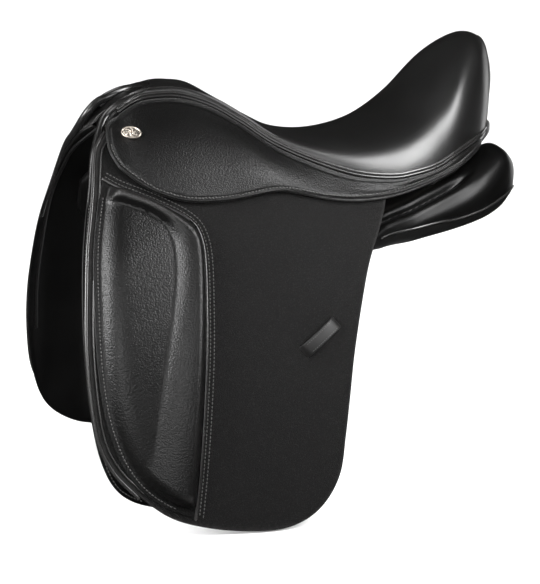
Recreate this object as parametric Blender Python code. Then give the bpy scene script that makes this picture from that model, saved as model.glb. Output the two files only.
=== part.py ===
"""English saddle, dressage pattern: tree, seat, skirts, flaps, knee blocks and panels.

Metres, +Z up, +X towards the cantle, near (left) side at -Y.
Dimensions below are in millimetres and are scaled once, in put().
"""
import math

import bpy
from mathutils import Vector
from mathutils.geometry import delaunay_2d_cdt

MM = 0.001
NEAR = -1
OFF = 1

# side of the saddle: half width of the flap's outer face at a height
SIDE_REACH = 222.0
SIDE_TOP = 182.0
SIDE_DEPTH = 178.0
SIDE_YAW = 0.05
SIDE_FRONT = -250.0

FLAP_THICK = 4.5
SKIRT_THICK = 3.2
SWEAT_THICK = 4.0
STRAP_THICK = 4.0
STRAP_WIDTH = 25.0
COVER_THICK = 3.0
FOAM_THICK = 22.0
COVER_ROWS = 27
COVER_COLS = 13
PIPING_R = 2.4
WELT_R = 2.2
HINGE_GAP = 0.6

# seat rings: seam x, seam half width, seam z, crown x, crown z
SEAT = [
    (-217, 48, 150, -174, 173),
    (-204, 46, 158, -165, 176),
    (-186, 44, 164, -152, 176),
    (-152, 46, 165, -133, 173),
    (-118, 53, 155, -105, 157),
    (-88, 66, 137, -76, 140),
    (-57, 82, 115, -47, 127),
    (-16, 100, 96, -12, 120),
    (24, 113, 83, 24, 120),
    (63, 118, 79, 62, 128),
    (89, 118, 82, 95, 143),
    (118, 114, 89, 130, 171),
    (148, 103, 103, 163, 208),
    (182, 80, 116, 192, 225),
    (200, 56, 121, 212, 223),
]
SEAT_POWER = 0.86
REAR_START = 10.0

# skirt: lower edge x, half width, z from the front top corner to the rear
SKIRT_LOW = [
    (-214, 107, 79),
    (-195, 116, 67),
    (-167, 123, 58),
    (-138, 125, 56),
    (-108, 125, 58),
    (-62, 124, 64),
    (-11, 132, 55),
    (21, 135, 53),
    (58, 133, 56),
    (93, 129, 64),
    (133, 118, 77),
    (158, 104, 88),
    (178, 88, 99),
    (188, 74, 107),
]
SKIRT_FRONT = [(-217, 142), (-232, 135), (-236, 118), (-235, 105), (-229, 92)]
SKIRT_BULGE = [(-236, 4), (-195, 13), (-130, 17), (-85, 17), (-40, 6), (0, 4), (60, 3), (190, 1)]
SKIRT_DROP = 6.6
SKIRT_HINGE = [(-240, 121), (-50, 102)]
SKIRT_SPLIT_X = -56.0

# flap outline x, z, front top corner first, down the front, along the bottom, up the rear
FLAP_FRONT = [
    (-247, 104), (-258, 58), (-268, 15), (-274, -29), (-278, -74), (-278, -120),
    (-273, -168), (-259, -200), (-236, -226),
]
FLAP_REST = [
    (-205, -250), (-168, -263), (-125, -270), (-88, -270), (-60, -260), (-40, -242),
    (-26, -216), (-19, -180), (-12, -140), (-4, -98), (8, -52), (22, -10), (38, 22), (50, 42),
]
FLAP_TOP = [(52, 50), (40, 58), (-20, 64), (-80, 77), (-150, 87), (-222, 90), (-236, 104)]
FLAP_HINGE = [(-262, 82), (28, 2)]

# sweat flap: front edge is the outermost leather edge
SWEAT_FRONT = [
    (-229, 140), (-240, 128), (-250, 107), (-258, 81), (-268, 45), (-276, 2), (-281, -50),
    (-282, -98), (-280, -140), (-272, -188), (-257, -220), (-230, -238),
]
SWEAT_REST = [
    (-190, -246), (-140, -248), (-90, -244), (-62, -232), (-44, -205), (-32, -165),
    (-22, -115), (-8, -60), (8, -5), (20, 40), (22, 60),
]
SWEAT_TOP = [(-60, 72), (-200, 84), (-216, 98), (-213, 118), (-214, 136)]
SWEAT_NEAR_D = -8.0
SWEAT_FAR_D = -20.5

# knee block: rear and top piping, then front seam
BLOCK_REAR = [
    (-246, 78), (-230, 69), (-208, 60), (-186, 50), (-168, 40), (-158, 30), (-154, 15),
    (-154, -5), (-157, -40), (-161, -85), (-166, -130), (-172, -180), (-178, -225), (-182, -252),
]
BLOCK_FRONT = [
    (-207, -242), (-231, -224), (-249, -200), (-261, -170), (-268, -137), (-271, -93),
    (-270, -50), (-267, -6), (-262, 26), (-254, 58),
]
BLOCK_EDGE = 3.0
BLOCK_ROLL = 19.0
BLOCK_FLOOR = 12.0
ROLL_WIDTH = 30.0
ROLL_FALL = 9.0

# panel sections: x, centre half width, centre z, half length, half thickness, slope degrees
PANEL_REAR = [
    (40, 80, 24, 47, 17, 28),
    (90, 83, 35, 46, 20, 22),
    (140, 80, 45, 43, 24, 18),
    (176, 77, 57, 40, 29, 14),
    (202, 73, 66, 32, 28, 12),
    (217, 68, 68, 22, 23, 10),
    (227, 61, 65, 12, 15, 8),
    (233, 55, 63, 6, 7, 8),
]
# front sections hang under the flap: x, centre z, half length, half thickness
PANEL_FRONT = [
    (-234, 62, 20, 5),
    (-218, 60, 42, 10),
    (-175, 48, 58, 14),
    (-110, 34, 62, 16),
    (-35, 22, 60, 18),
]
PANEL_SINK = 27.5
PANEL_POWER = 0.78

BAR_Z = 96.0
BAR_FRONT = -178.0
BAR_REAR = -103.0
BAR_LIFT = 4.2
BAR_WIDE = 12.0
BAR_THICK = 6.0
CATCH_LONG = 14.0
CATCH_R = 5.4

STRAPS = [("front", -120.0), ("rear", -62.0)]
STRAP_TOP = 46.0
STRAP_LOW = -235.0
STRAP_D = -13.0

NAIL = (-210, 127)


def mix(a, b, t):
    return a + (b - a) * t


def ease(t):
    t = max(0.0, min(1.0, t))
    return t * t * (3 - 2 * t)


def along(table, x, column=1):
    """Straight interpolation in a table sorted by its first column."""
    if x <= table[0][0]:
        return table[0][column]
    for low, high in zip(table, table[1:]):
        if x <= high[0]:
            return mix(low[column], high[column], (x - low[0]) / (high[0] - low[0]))
    return table[-1][column]


def spline(rows, u):
    """Catmull-Rom through the rows; u counts rows."""
    last = len(rows) - 1
    i = max(0, min(int(u), last - 1))
    t = u - i
    p0 = rows[max(i - 1, 0)]
    p1 = rows[i]
    p2 = rows[i + 1]
    p3 = rows[min(i + 2, last)]
    out = []
    for a, b, c, d in zip(p0, p1, p2, p3):
        out.append(0.5 * (2 * b + (c - a) * t + (2 * a - 5 * b + 4 * c - d) * t * t
                          + (3 * b - a - 3 * c + d) * t ** 3))
    return out


def curve(points, count):
    """A smooth curve through the points, evenly spaced by length."""
    fine = [spline(points, k * (len(points) - 1) / 400) for k in range(401)]
    run = [0.0]
    for a, b in zip(fine, fine[1:]):
        run.append(run[-1] + math.dist(a, b))
    out = []
    k = 0
    for i in range(count):
        want = run[-1] * i / (count - 1)
        while k < 399 and run[k + 1] < want:
            k += 1
        part = (want - run[k]) / max(run[k + 1] - run[k], 1e-9)
        out.append([mix(p, q, min(part, 1.0)) for p, q in zip(fine[k], fine[k + 1])])
    return out


def side_half(x, z):
    drop = math.exp(-(SIDE_TOP - z) / SIDE_DEPTH)
    return SIDE_REACH * (1 - drop) + SIDE_YAW * (x - SIDE_FRONT)


def lift(half, x, z, d):
    """The point at distance d off the surface y = half(x, z), on the +Y side."""
    e = 0.5
    fx = (half(x + e, z) - half(x - e, z)) / (2 * e)
    fz = (half(x, z + e) - half(x, z - e)) / (2 * e)
    n = Vector((-fx, 1.0, -fz)).normalized()
    return Vector((x, half(x, z), z)) + n * d


def on_side(x, z, d):
    return lift(side_half, x, z, d)


def put(name, points, faces, side=OFF):
    """Add one closed object; side mirrors it to the near side. Faces are turned outwards."""
    pts = [Vector((p[0], p[1] * side, p[2])) * MM for p in points]
    volume = 0.0
    for face in faces:
        for a, b in zip(face[1:-1], face[2:]):
            volume += pts[face[0]].dot(pts[a].cross(pts[b]))
    if volume < 0:
        faces = [tuple(reversed(f)) for f in faces]
    mesh = bpy.data.meshes.new(name)
    mesh.from_pydata([tuple(p) for p in pts], [], [tuple(f) for f in faces])
    mesh.update()
    obj = bpy.data.objects.new(name, mesh)
    collection.objects.link(obj)
    return obj


def between_grids(name, upper, lower, side=OFF):
    """Close the space between two grids of the same size."""
    rows = len(upper)
    cols = len(upper[0])
    points = [p for row in upper for p in row] + [p for row in lower for p in row]
    base = rows * cols

    def top(i, j):
        return i * cols + j

    faces = []
    for i in range(rows - 1):
        for j in range(cols - 1):
            faces.append((top(i, j), top(i + 1, j), top(i + 1, j + 1), top(i, j + 1)))
            faces.append((base + top(i, j), base + top(i, j + 1),
                          base + top(i + 1, j + 1), base + top(i + 1, j)))
    edge = [top(0, j) for j in range(cols)]
    edge += [top(i, cols - 1) for i in range(1, rows)]
    edge += [top(rows - 1, j) for j in range(cols - 2, -1, -1)]
    edge += [top(i, 0) for i in range(rows - 2, 0, -1)]
    for a, b in zip(edge, edge[1:] + edge[:1]):
        faces.append((a, b, base + b, base + a))
    return put(name, points, faces, side)


def inside(poly, x, z):
    hit = False
    for (ax, az), (bx, bz) in zip(poly, poly[1:] + poly[:1]):
        if (az > z) != (bz > z) and x < ax + (z - az) * (bx - ax) / (bz - az):
            hit = not hit
    return hit


def edge_distance(poly, x, z):
    best = 1e9
    for (ax, az), (bx, bz) in zip(poly, poly[1:] + poly[:1]):
        dx, dz = bx - ax, bz - az
        t = ((x - ax) * dx + (z - az) * dz) / max(dx * dx + dz * dz, 1e-9)
        t = max(0.0, min(1.0, t))
        best = min(best, math.hypot(x - ax - dx * t, z - az - dz * t))
    return best


def short_edges(outline, most):
    """The same outline with every edge split to no longer than most."""
    out = []
    for p, q in zip(outline, outline[1:] + outline[:1]):
        steps = max(1, math.ceil(math.dist(p, q) / most))
        out += [(mix(p[0], q[0], k / steps), mix(p[1], q[1], k / steps)) for k in range(steps)]
    return out


def leather(name, outline, outer, inner, spacing, side=OFF):
    """A closed sheet over a flat outline; outer and inner place a point (x, z) in space."""
    outline = short_edges(outline, spacing * 1.1)
    flat = [Vector(p) for p in outline]
    edges = [(i, (i + 1) % len(flat)) for i in range(len(flat))]
    x0 = min(p[0] for p in outline)
    x1 = max(p[0] for p in outline)
    z0 = min(p[1] for p in outline)
    z1 = max(p[1] for p in outline)
    row = 0
    z = z0 + spacing * 0.5
    extra = []
    while z < z1:
        x = x0 + spacing * (0.5 if row % 2 else 0.0)
        while x < x1:
            if inside(outline, x, z) and edge_distance(outline, x, z) > spacing * 0.45:
                extra.append(Vector((x, z)))
            x += spacing
        z += spacing * 0.87
        row += 1
    verts, _, tris, _, _, _ = delaunay_2d_cdt(flat + extra, edges, [], 1, 1e-6)
    count = len(verts)
    points = [outer(v[0], v[1]) for v in verts] + [inner(v[0], v[1]) for v in verts]
    faces = []
    used = {}
    for tri in tris:
        faces.append(tuple(tri))
        faces.append(tuple(count + i for i in reversed(tri)))
        for a, b in zip(tri, tri[1:] + tri[:1]):
            used[(a, b)] = True
    for a, b in used:
        if (b, a) not in used:
            faces.append((b, a, count + a, count + b))
    return put(name, points, faces, side)


def clip(outline, line, sign, gap):
    """Keep the part of an outline on one side of a line through two points."""
    (ax, az), (bx, bz) = line
    length = math.hypot(bx - ax, bz - az)

    def off(p):
        return sign * ((bx - ax) * (p[1] - az) - (bz - az) * (p[0] - ax)) / length - gap

    out = []
    for p, q in zip(outline, outline[1:] + outline[:1]):
        dp, dq = off(p), off(q)
        if dp >= 0:
            out.append(tuple(p))
        if (dp >= 0) != (dq >= 0):
            t = dp / (dp - dq)
            out.append((mix(p[0], q[0], t), mix(p[1], q[1], t)))
    return out


def sweep(name, path, section, up, side=OFF, closed=False):
    """Sweep a flat section (a, b) along a path; b points along up as far as it can."""
    path = [Vector(p) for p in path]
    up = Vector(up)
    count = len(path)
    rings = []
    for i, p in enumerate(path):
        before = path[i - 1] if i or closed else path[0]
        after = path[(i + 1) % count] if i < count - 1 or closed else path[-1]
        t = (after - before).normalized()
        a = up.cross(t).normalized()
        b = t.cross(a)
        rings.append([p + a * s[0] + b * s[1] for s in section])
    n = len(section)
    points = [q for ring in rings for q in ring]
    faces = []
    for i in range(count if closed else count - 1):
        j = (i + 1) % count
        for k in range(n):
            m = (k + 1) % n
            faces.append((i * n + k, i * n + m, j * n + m, j * n + k))
    if not closed:
        faces.append(tuple(range(n - 1, -1, -1)))
        faces.append(tuple((count - 1) * n + k for k in range(n)))
    return put(name, points, faces, side)


def circle(r, sides, squash=1.0):
    return [(r * math.cos(2 * math.pi * (k + 0.5) / sides),
             r * squash * math.sin(2 * math.pi * (k + 0.5) / sides)) for k in range(sides)]


def box(wide, thick):
    return [(-wide / 2, -thick / 2), (wide / 2, -thick / 2), (wide / 2, thick / 2), (-wide / 2, thick / 2)]


# ---------------------------------------------------------------- seat

def seat_point(u, angle, in_side, in_top):
    xs, w, zs, xc, zc = spline(SEAT, u)
    c = math.cos(angle)
    s = math.sin(angle)
    r = s ** SEAT_POWER if s > 1e-9 else 0.0
    reach = w - in_side
    y = math.copysign(abs(c) ** SEAT_POWER, c) * reach
    back = ease((u - REAR_START) / 4.0)
    x = xs + (xc - in_top * back - xs) * r
    z = zs + (zc - in_top * (1 - 0.3 * back) - zs) * r
    return Vector((x, y, z))


def arch(u, cols, in_side, in_top):
    return [seat_point(u, math.pi * j / (cols - 1), in_side, in_top) for j in range(cols)]


def shell(name, start, end, rows, cols, outer, inner):
    us = [mix(start, end, i / (rows - 1)) for i in range(rows)]

    def grid(inset):
        out = []
        for u in us:
            xs, w, zs, xc, zc = spline(SEAT, u)
            top = min(inset, 0.62 * (zc - zs)) if inset > 5 else inset
            out.append(arch(u, cols, inset, top))
        return out

    return between_grids(name, grid(outer), grid(inner))


def seam_line(count, out=0.0, down=0.0, start=0.0, end=14.0):
    rows = [spline(SEAT, mix(start, end, k / (count - 1))) for k in range(count)]
    return [(x, w + out, z - down) for x, w, z, _, _ in rows]


def build_seat():
    # the foam shares the cover's rows and columns, so the gap between them is even
    step = 14.0 / (COVER_ROWS - 1)
    shell("seat_cover", 0.0, 14.0, COVER_ROWS, COVER_COLS, 0.0, COVER_THICK)
    shell("seat_foam", step, 14.0 - step, COVER_ROWS - 2, COVER_COLS, COVER_THICK + 0.5, COVER_THICK + FOAM_THICK)

    # back of the cantle: closes the rear arch of the cover
    top = SEAT[-1]
    half = top[1] - COVER_THICK - 0.5
    height = top[4] - COVER_THICK - 0.5 - top[2]
    outline = []
    for k in range(17):
        a = math.pi * k / 16
        outline.append((half * math.copysign(abs(math.cos(a)) ** SEAT_POWER, math.cos(a)),
                        top[2] + 0.6 + height * math.sin(a) ** SEAT_POWER))

    def back(y, z):
        t = (z - top[2]) / height
        edge = mix(top[0], top[3], t) - 1.0
        wide = half * (1 - max(0.0, min(t, 1.0)) ** 2.3) ** 0.43
        bow = max(0.0, 1 - (y / max(wide, 1.0)) ** 2)
        return edge + 17.0 * math.sqrt(bow) * math.sin(math.pi * min(1.0, 0.18 + 0.72 * t))

    def rim(y, z):
        return mix(top[0], top[3], (z - top[2]) / height) - 1.0 - COVER_THICK

    leather("cantle_back", outline,
            lambda y, z: Vector((back(y, z), y, z)),
            lambda y, z: Vector((rim(y, z), y, z)), 16)

    for side, tag in ((NEAR, "near"), (OFF, "off")):
        sweep("seat_welt_" + tag, seam_line(36, -0.4, 3.0), circle(PIPING_R, 6), (0, 0, 1), side)

    # strip round the back below the cantle
    half_path = [(112, 105, 71), (140, 96, 81), (165, 77, 92.5), (190, 53, 103), (208, 36, 110), (218, 14, 112)]
    path = curve(half_path, 9)
    path = path + [(x, -y, z) for x, y, z in reversed(path)]
    sweep("cantle_strip", path, circle(6.0, 8, 1.3), (0, 0, 1))


# ---------------------------------------------------------------- tree

def build_tree():
    rail = []
    for x, y, z in seam_line(18, 0.0, 0.0, 2.6, 12.4):
        back = ease((x + 20) / 120)
        rail.append((x - 4 * back, y - mix(18, 34, back), z - mix(13, 7, back)))
    path = rail + [(188, 16, 108), (192, 0, 108), (188, -16, 108)] + [(x, -y, z) for x, y, z in reversed(rail)]
    path = path + [(-178, -16, 150), (-181, 0, 151), (-178, 16, 150)]
    sweep("tree_frame", path, box(18, 7), (0, 0, 1), closed=True)
    shell("tree_cantle", 10.2, 12.6, 7, 9, COVER_THICK + FOAM_THICK + 7, COVER_THICK + FOAM_THICK + 13)

    plate_x = -178.0
    leg = [on_side(plate_x, z, -16.0) for z in (66, 80, 95, 110, 124, 138)]
    arc = [tuple(p) for p in leg] + [(plate_x, 29, 135.5), (plate_x, 14, 141.0)]
    path = arc + [(plate_x, 0, 142.2)] + [(x, -y, z) for x, y, z in reversed(arc)]
    sweep("head_plate", path, box(3.5, 34), (1, 0, 0))

    for side, tag in ((NEAR, "near"), (OFF, "off")):
        # lengthwise webs and their cross webs sit on top of the tree rails
        long_web = [(-150, 12, 157), (-100, 16, 142), (-40, 24, 101), (40, 34, 84), (105, 34, 91), (150, 28, 101)]
        sweep("long_web_" + tag, curve(long_web, 12), box(18, 1.6), (0, 0, 1), side)
    sweep("cross_web", [(50, y, 78.5) for y in (-88, -30, 30, 88)], box(30, 1.6), (0, 0, 1))


def side_block(name, x0, x1, z0, z1, d0, d1, side):
    """A small block lying on the side surface between two distances."""
    low = [[on_side(x, z, d0) for x in (x0, x1)] for z in (z0, z1)]
    high = [[on_side(x, z, d1) for x in (x0, x1)] for z in (z0, z1)]
    return between_grids(name, high, low, side)


def bar_frame():
    """Centre of the bar's straight part and its outward direction."""
    centre = on_side((BAR_FRONT + BAR_REAR) / 2, BAR_Z, 0)
    out = (on_side((BAR_FRONT + BAR_REAR) / 2, BAR_Z, 1) - centre).normalized()
    run = (on_side(BAR_REAR, BAR_Z, 0) - on_side(BAR_FRONT, BAR_Z, 0)).normalized()
    out = (out - run * out.dot(run)).normalized()
    return centre, out, run


def placed(centre, run, out, rise, points):
    return [centre + run * a + out * b + rise * c for a, b, c in points]


def build_bars():
    centre, out, run = bar_frame()
    rise = run.cross(out).normalized()
    if rise.z < 0:
        rise = -rise
    long = BAR_REAR - BAR_FRONT
    t = BAR_THICK / 2
    w = BAR_WIDE / 2
    deep = -11.5
    for side, tag in ((NEAR, "near"), (OFF, "off")):
        # J-shaped bar: a lug at the front reaches in to the head plate, the rear end is free
        outline = [
            (-long / 2, deep), (-long / 2, BAR_LIFT + t - 2), (-long / 2 + 2, BAR_LIFT + t), (long / 2, BAR_LIFT + t),
            (long / 2, BAR_LIFT - t), (-long / 2 + 9, BAR_LIFT - t), (-long / 2 + 7, BAR_LIFT - t - 2),
            (-long / 2 + 7, deep),
        ]
        n = len(outline)
        points = placed(centre, run, out, rise, [(a, b, -w) for a, b in outline])
        points += placed(centre, run, out, rise, [(a, b, w) for a, b in outline])
        faces = [tuple(range(n)), tuple(range(2 * n - 1, n - 1, -1))]
        faces += [((k + 1) % n, k, k + n, (k + 1) % n + n) for k in range(n)]
        put("stirrup_bar_" + tag, points, faces, side)

        # catch at the free end: turns up about a pin across the bar
        c0 = long / 2 + 0.6
        c1 = c0 + CATCH_LONG
        profile = [(c1 - 2, -w + 1), (c1, -w + 3), (c1, w - 3), (c1 - 2, w - 1)]
        for k in range(7):
            a = math.pi * (0.5 + k / 6)
            profile.append((c0 + CATCH_R + CATCH_R * math.cos(a), CATCH_R * math.sin(a)))
        n = len(profile)
        points = placed(centre, run, out, rise, [(a, BAR_LIFT - t, c) for a, c in profile])
        points += placed(centre, run, out, rise, [(a, BAR_LIFT + t, c) for a, c in profile])
        faces = [tuple(range(n)), tuple(range(2 * n - 1, n - 1, -1))]
        faces += [((k + 1) % n, k, k + n, (k + 1) % n + n) for k in range(n)]
        put("bar_catch_" + tag, points, faces, side)

        side_block("bar_foot_" + tag, -190, -166, 108, 124, -13.6, -10.6, side)
        for k, x in enumerate((-184.0, -172.0)):
            p0 = on_side(x, 116, -10.2)
            p1 = on_side(x, 116, -8.2)
            sweep("bar_rivet_%s_%d" % (tag, k + 1), [p0, p1], circle(3.2, 8), (1, 0, 0), side)


# ---------------------------------------------------------------- skirts

def skirt_half(x, z):
    seam = [(r[0], r[1], r[2]) for r in SEAT]
    zt = along(seam, x, 2) - SKIRT_DROP
    yt = along(seam, x, 1) + 0.8
    zl = along(SKIRT_LOW, x, 2)
    yl = along(SKIRT_LOW, x, 1)
    t = (zt - z) / (zt - zl)
    bulge = along(SKIRT_BULGE, x) * math.sin(math.pi * max(0.0, min(1.0, t)))
    return yt + (yl - yt) * t + bulge


def build_skirts():
    seam = seam_line(30, 0.0, SKIRT_DROP, 0.0, 13.0)
    top = [(x, z) for x, _, z in seam]
    low = [(x, z) for x, _, z in curve(SKIRT_LOW, 26)]
    front = curve(SKIRT_FRONT, 7)
    whole = top + low[::-1] + [tuple(p) for p in front[::-1]][:-1]
    cut_down = [(SKIRT_SPLIT_X, 200), (SKIRT_SPLIT_X, 0)]
    moving = clip(clip(whole, SKIRT_HINGE, -1, HINGE_GAP / 2), cut_down, -1, 0.5)
    fixed_top = clip(clip(whole, SKIRT_HINGE, 1, HINGE_GAP / 2), cut_down, -1, -0.01)
    fixed_rear = clip(whole, cut_down, 1, 0.5)

    def outer(x, z):
        return lift(skirt_half, x, z, 0.0)

    def inner(x, z):
        return lift(skirt_half, x, z, -SKIRT_THICK)

    for side, tag in ((NEAR, "near"), (OFF, "off")):
        leather("skirt_" + tag, moving, outer, inner, 22, side)
        leather("skirt_head_" + tag, fixed_top, outer, inner, 22, side)
        leather("skirt_rear_" + tag, fixed_rear, outer, inner, 24, side)
        # oval name nail
        centre = lift(skirt_half, NAIL[0], NAIL[1], 1.9)
        out = (lift(skirt_half, NAIL[0], NAIL[1], 2.9) - centre).normalized()
        across = Vector((0.96, 0.0, -0.28))
        across = (across - out * across.dot(out)).normalized()
        rise = out.cross(across)
        points = []
        for level, grow in ((0.0, 1.0), (1.6, 1.0), (3.0, 0.72)):
            for k in range(12):
                a = 2 * math.pi * k / 12
                points.append(centre + across * 11.5 * grow * math.cos(a) + rise * 7.0 * grow * math.sin(a)
                              + out * level)
        faces = [tuple(range(11, -1, -1)), tuple(range(24, 36))]
        for ring in (0, 12):
            faces += [(ring + k, ring + (k + 1) % 12, ring + 12 + (k + 1) % 12, ring + 12 + k) for k in range(12)]
        put("nail_" + tag, points, faces, side)


# ---------------------------------------------------------------- flaps

def flap_outline():
    lower = curve(FLAP_FRONT + FLAP_REST, 50)
    return [tuple(p) for p in lower] + FLAP_TOP


def block_outline():
    rear = curve(BLOCK_REAR, 22)
    front = curve(BLOCK_FRONT, 18)
    return [tuple(p) for p in rear] + [tuple(p) for p in front]


def line_distance(points, x, z):
    best = 1e9
    for (ax, az), (bx, bz) in zip(points, points[1:]):
        dx, dz = bx - ax, bz - az
        t = max(0.0, min(1.0, ((x - ax) * dx + (z - az) * dz) / (dx * dx + dz * dz)))
        best = min(best, math.hypot(x - ax - dx * t, z - az - dz * t))
    return best


def block_height(x, z):
    back = line_distance(BLOCK_REAR, x, z)
    front = line_distance([BLOCK_REAR[0]] + BLOCK_FRONT[::-1] + [BLOCK_REAR[-1]], x, z)
    if back < ROLL_WIDTH:
        h = BLOCK_ROLL * ease(back / ROLL_WIDTH) ** 0.8
    else:
        h = mix(BLOCK_ROLL, BLOCK_FLOOR, ease((back - ROLL_WIDTH) / ROLL_FALL))
    return BLOCK_EDGE + h * ease(front / 18.0)


def beside(line, out, d):
    """A line moved sideways by out within the surface, and d off it."""
    path = []
    for k, p in enumerate(line):
        after = line[min(k + 1, len(line) - 1)]
        before = line[max(k - 1, 0)]
        dx, dz = after[0] - before[0], after[1] - before[1]
        n = math.hypot(dx, dz)
        path.append(on_side(p[0] - dz / n * out, p[1] + dx / n * out, d))
    return path


def build_flaps():
    whole = flap_outline()
    moving = clip(whole, FLAP_HINGE, -1, HINGE_GAP / 2)
    fixed = clip(whole, FLAP_HINGE, 1, HINGE_GAP / 2)
    block = clip(block_outline(), FLAP_HINGE, -1, 3.0)
    welt = [p for p in curve(FLAP_FRONT, 46)]
    hinge_z = [p for p in welt if p[1] < 72]
    for side, tag in ((NEAR, "near"), (OFF, "off")):
        leather("flap_" + tag, moving, lambda x, z: on_side(x, z, 0.0),
                lambda x, z: on_side(x, z, -FLAP_THICK), 27, side)
        leather("flap_head_" + tag, fixed, lambda x, z: on_side(x, z, 0.0),
                lambda x, z: on_side(x, z, -FLAP_THICK), 27, side)
        leather("knee_block_" + tag, block, lambda x, z: on_side(x, z, 0.4 + block_height(x, z)),
                lambda x, z: on_side(x, z, 0.4), 17, side)
        path = beside(hinge_z, -WELT_R - 0.6, -FLAP_THICK / 2)[::2]
        sweep("flap_welt_" + tag, path, circle(WELT_R, 6), (0, 1, 0), side)
        rear = [p for p in curve(BLOCK_REAR, 40) if clip([p, p, p], FLAP_HINGE, -1, 5.0)]
        path = beside(rear, WELT_R + 0.9, WELT_R + 0.4)[::2]
        sweep("block_piping_" + tag, path, circle(WELT_R, 6), (0, 1, 0), side)
        # keeper loop for the end of the stirrup leather
        centre = on_side(-36, -80, 0.5)
        out = (on_side(-36, -80, 1.5) - centre).normalized()
        run = Vector((0.77, 0.0, 0.64))
        run = (run - out * run.dot(out)).normalized()
        rise = out.cross(run).normalized()
        arc = [(-21, 1.0), (-19.5, 4.5), (-12, 7.5), (0, 8.3), (12, 7.5), (19.5, 4.5), (21, 1.0)]
        path = [centre + run * a + out * b for a, b in arc]
        sweep("keeper_" + tag, path, box(1.8, 13), rise, side)


# ---------------------------------------------------------------- underside

def sweat_d(x):
    return mix(SWEAT_NEAR_D, SWEAT_FAR_D, ease((x + 268) / 55.0))


def build_under():
    outline = [tuple(p) for p in curve(SWEAT_FRONT + SWEAT_REST, 46)] + SWEAT_TOP
    for side, tag in ((NEAR, "near"), (OFF, "off")):
        leather("sweat_flap_" + tag, outline, lambda x, z: on_side(x, z, sweat_d(x)),
                lambda x, z: on_side(x, z, sweat_d(x) - SWEAT_THICK), 32, side)
        side_block("point_pocket_" + tag, -202, -154, 58, 84, -12.6, -10.2, side)
        web = [(-134, 90), (-137, STRAP_TOP + 1.6), (-45, STRAP_TOP + 1.6), (-50, 90)]
        leather("girth_web_" + tag, web, lambda x, z: on_side(x, z, STRAP_D + STRAP_THICK - 0.5),
                lambda x, z: on_side(x, z, STRAP_D + 0.5), 30, side)
        for where, x in STRAPS:
            rows = 12
            low = []
            high = []
            for k in range(rows + 1):
                z = mix(STRAP_TOP - 8, STRAP_LOW, (k - 1) / (rows - 1)) if k else STRAP_TOP
                half = STRAP_WIDTH / 2 if 0 < k < rows else 5.0
                high.append([strap_point(x, z, px, STRAP_D + STRAP_THICK) for px in (-half, half)])
                low.append([strap_point(x, z, px, STRAP_D) for px in (-half, half)])
            between_grids("girth_strap_%s_%s" % (tag, where), high, low, side)

        rings = []
        for row in panel_rows(17):
            x, cy, cz, a, b, slope = row
            c, s = math.cos(slope), math.sin(slope)
            ring = []
            for k in range(14):
                t = 2 * math.pi * k / 14
                p = a * math.copysign(abs(math.cos(t)) ** PANEL_POWER, math.cos(t))
                q = b * math.copysign(abs(math.sin(t)) ** PANEL_POWER, math.sin(t))
                ring.append(Vector((x, cy + p * c + q * s, cz - p * s + q * c)))
            rings.append(ring)
        points = [p for ring in rings for p in ring]
        faces = [tuple(range(13, -1, -1)), tuple((len(rings) - 1) * 14 + k for k in range(14))]
        for i in range(len(rings) - 1):
            for k in range(14):
                m = (k + 1) % 14
                faces.append((i * 14 + k, i * 14 + m, (i + 1) * 14 + m, (i + 1) * 14 + k))
        put("panel_" + tag, points, faces, side)

        gusset = []
        for row in panel_rows(30):
            if not 52 < row[0] < 222:
                continue
            gusset.append(row)
        outer = [[panel_point(r, t, 3.6) for t in (-0.7, -0.35, 0.0, 0.35, 0.75, 1.15)] for r in gusset]
        inner = [[panel_point(r, t, 1.6) for t in (-0.7, -0.35, 0.0, 0.35, 0.75, 1.15)] for r in gusset]
        between_grids("rear_gusset_" + tag, outer, inner, side)


def strap_point(x, z, across, d):
    p = on_side(x, z, d)
    return Vector((x + across, p.y, p.z))


def panel_rows(count):
    rows = []
    for x, zc, a, b in PANEL_FRONT:
        p = on_side(x, zc, -PANEL_SINK - b)
        q = on_side(x, zc - 10, -PANEL_SINK - b)
        rows.append((x, p.y, p.z, a, b, math.atan2(p.z - q.z, q.y - p.y)))
    for x, cy, cz, a, b, deg in PANEL_REAR:
        rows.append((x, cy, cz, a, b, math.radians(deg)))
    return curve(rows, count)


def panel_point(row, t, grow):
    x, cy, cz, a, b, slope = row
    c, s = math.cos(slope), math.sin(slope)
    p = (a + grow) * math.copysign(abs(math.cos(t)) ** PANEL_POWER, math.cos(t))
    q = (b + grow) * math.copysign(abs(math.sin(t)) ** PANEL_POWER, math.sin(t))
    return Vector((x, cy + p * c + q * s, cz - p * s + q * c))


def build_facing():
    edge = [(z, x) for x, z in SWEAT_FRONT][::-1]
    half_path = []
    for z in (30, 55, 80, 100, 118, 134):
        half_path.append(tuple(on_side(along(edge, z) + 7, z, -29.0)))
    half_path += [(-208, 18, 140), (-200, 9, 149)]
    path = half_path + [(-197, 0, 152)] + [(x, -y, z) for x, y, z in reversed(half_path)]
    sweep("pommel_facing", path, circle(4.6, 8), (1, 0, 0))


for old in list(bpy.data.objects):
    bpy.data.objects.remove(old, do_unlink=True)
collection = bpy.data.collections.new("english_saddle")
bpy.context.scene.collection.children.link(collection)

build_seat()
build_tree()
build_bars()
build_skirts()
build_flaps()
build_under()
build_facing()
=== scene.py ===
"""Looks of the english saddle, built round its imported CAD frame.

Lengths in the tables are millimetres: +Z up, +X towards the cantle, near (left) side at -Y.
Shapes are made on the +Y side and mirrored.
"""

import math

import bpy
import numpy as np
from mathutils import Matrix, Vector
from mathutils.bvhtree import BVHTree
from mathutils.geometry import delaunay_2d_cdt


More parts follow.
